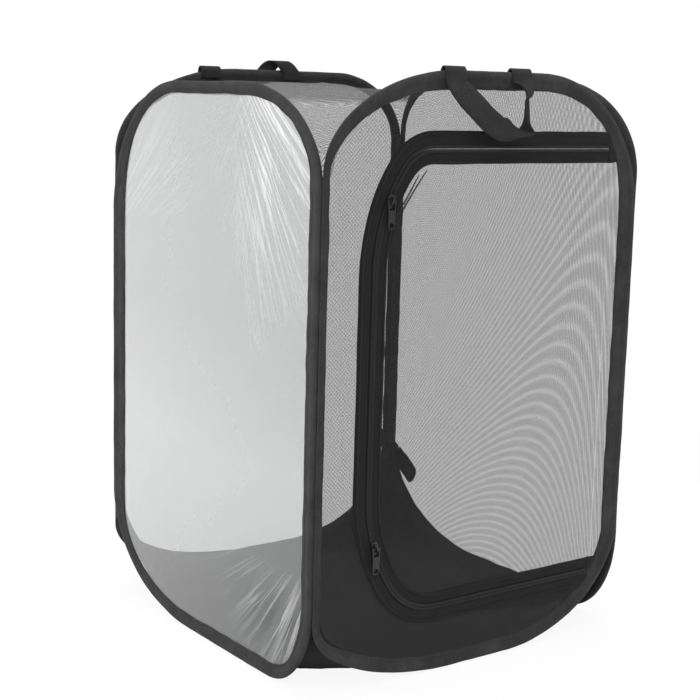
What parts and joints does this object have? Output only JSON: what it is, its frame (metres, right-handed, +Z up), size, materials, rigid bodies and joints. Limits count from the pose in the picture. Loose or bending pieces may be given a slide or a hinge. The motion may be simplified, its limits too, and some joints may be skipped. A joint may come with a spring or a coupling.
{
  "type": "mesh insect cage",
  "caption": "Pop-up mesh insect cage with a clear window, a zipped net door, webbing handles and a tie strap on spring-wire loops.",
  "frame": {"origin": "middle of the cage's floor, on its flat underside", "axes": "+X to the right along the front, +Y from the front to the back, +Z up"},
  "size_m": [0.4089, 0.4404, 0.5901],
  "materials": {
    "binding": "matt woven tape with stitching",
    "net": "fine woven net",
    "floor_cloth": "plain woven cloth",
    "window_film": "clear, glossy and a little crumpled",
    "zip_tape": "matt knitted tape",
    "zip_coil": "satin nylon coil",
    "zip_metal": "satin black enamel",
    "webbing": "coarse woven webbing",
    "spring_wire": "bare spring steel"
  },
  "bodies": {
    "cage": {"binding_front": "binding", "wire_loop_front": "spring_wire", "wire_ferrule_front": "spring_wire", "binding_right": "binding", "wire_loop_right": "spring_wire", "wire_ferrule_right": "spring_wire", "binding_back": "binding", "wire_loop_back": "spring_wire", "wire_ferrule_back": "spring_wire", "binding_left": "binding", "wire_loop_left": "spring_wire", "wire_ferrule_left": "spring_wire", "corner_tape_front_left": "binding", "corner_tape_front_right": "binding", "corner_tape_back_right": "binding", "corner_tape_back_left": "binding", "clear_window": "window_film", "back_mesh": "net", "right_mesh": "net", "front_surround_mesh": "net", "roof_mesh": "net", "floor_panel": "floor_cloth", "zip_tape_frame": "zip_tape", "zip_coil_frame": "zip_coil", "handle_front_end_left": "webbing", "handle_front_end_right": "webbing", "handle_back_end_left": "webbing", "handle_back_end_right": "webbing", "tie_strap_end": "webbing"},
    "door": {"door_mesh": "net", "zip_tape_door": "zip_tape", "zip_coil_door": "zip_coil"},
    "upper_slider": {"zip_slider_upper": "zip_metal"},
    "upper_pull": {"zip_pull_upper": "zip_metal"},
    "lower_slider": {"zip_slider_lower": "zip_metal"},
    "lower_pull": {"zip_pull_lower": "zip_metal"},
    "front_handle": {"handle_front": "webbing"},
    "back_handle": {"handle_back": "webbing"},
    "tie": {"tie_strap": "webbing"}
  },
  "joints": [
    {"name": "door_fold", "type": "hinge", "parent": "cage", "child": "door", "pos_m": [0.15998, -0.20155, 0.2889], "axis": [0, 0, 1], "range_deg": [0, 150]},
    {"name": "upper_slider_travel", "type": "hinge", "parent": "door", "child": "upper_slider", "pos_m": [0.02502, -0.199, 0.39802], "axis": [0, 1, 0], "range_deg": [-23, 9]},
    {"name": "upper_pull_hinge", "type": "hinge", "parent": "upper_slider", "child": "upper_pull", "pos_m": [-0.12618, -0.20441, 0.46408], "axis": [-1, 0, 0], "range_deg": [0, 170]},
    {"name": "lower_slider_travel", "type": "hinge", "parent": "door", "child": "lower_slider", "pos_m": [0.02502, -0.199, 0.18978], "axis": [0, 1, 0], "range_deg": [-12, 17]},
    {"name": "lower_pull_hinge", "type": "hinge", "parent": "lower_slider", "child": "lower_pull", "pos_m": [-0.1319, -0.20441, 0.1388], "axis": [-1, 0, 0], "range_deg": [0, 170]},
    {"name": "front_handle_hinge", "type": "hinge", "parent": "cage", "child": "front_handle", "pos_m": [0, -0.1981, 0.58625], "axis": [-1, 0, 0], "range_deg": [0, 160]},
    {"name": "back_handle_hinge", "type": "hinge", "parent": "cage", "child": "back_handle", "pos_m": [0, 0.1981, 0.58945], "axis": [1, 0, 0], "range_deg": [0, 160]},
    {"name": "tie_strap_fold", "type": "hinge", "parent": "cage", "child": "tie", "pos_m": [0.20415, 0.19538, 0.1035], "axis": [0, -0.5446, 0.8387], "range_deg": [0, 120]}
  ]
}
